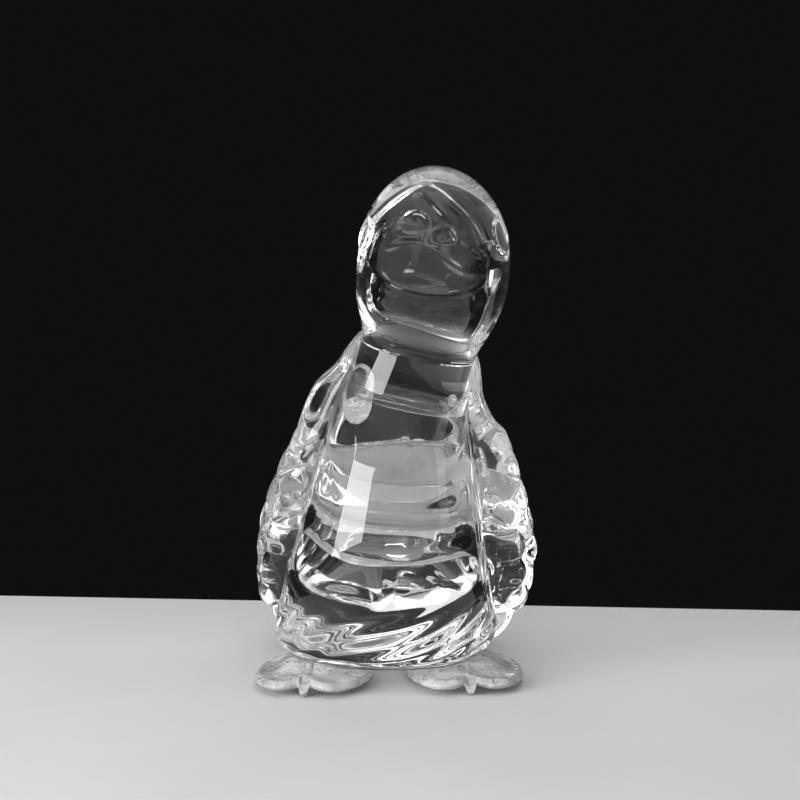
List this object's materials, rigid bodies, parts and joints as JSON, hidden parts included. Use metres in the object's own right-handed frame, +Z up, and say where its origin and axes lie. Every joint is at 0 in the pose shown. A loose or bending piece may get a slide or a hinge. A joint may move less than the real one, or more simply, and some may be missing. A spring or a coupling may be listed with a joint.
{
  "type": "duckling figurine",
  "caption": "Standing clear acrylic duckling ornament with a broad bill, scaled folded wings, an upturned tail and frosted webbed feet.",
  "frame": {"origin": "middle of the figure's footprint, on the floor", "axes": "+Z up, the duckling looks along -Y, its own left side is +X"},
  "size_m": [0.0726, 0.0902, 0.1297],
  "materials": {
    "clear_acrylic": "clear, polished",
    "frosted_acrylic": "frosted"
  },
  "bodies": {
    "root": {"body": "clear_acrylic", "head": "clear_acrylic", "wing_left": "clear_acrylic", "wing_right": "clear_acrylic", "tail": "clear_acrylic", "eye_left": "clear_acrylic", "eye_right": "clear_acrylic", "foot_left": "frosted_acrylic", "foot_right": "frosted_acrylic"}
  },
  "joints": []
}
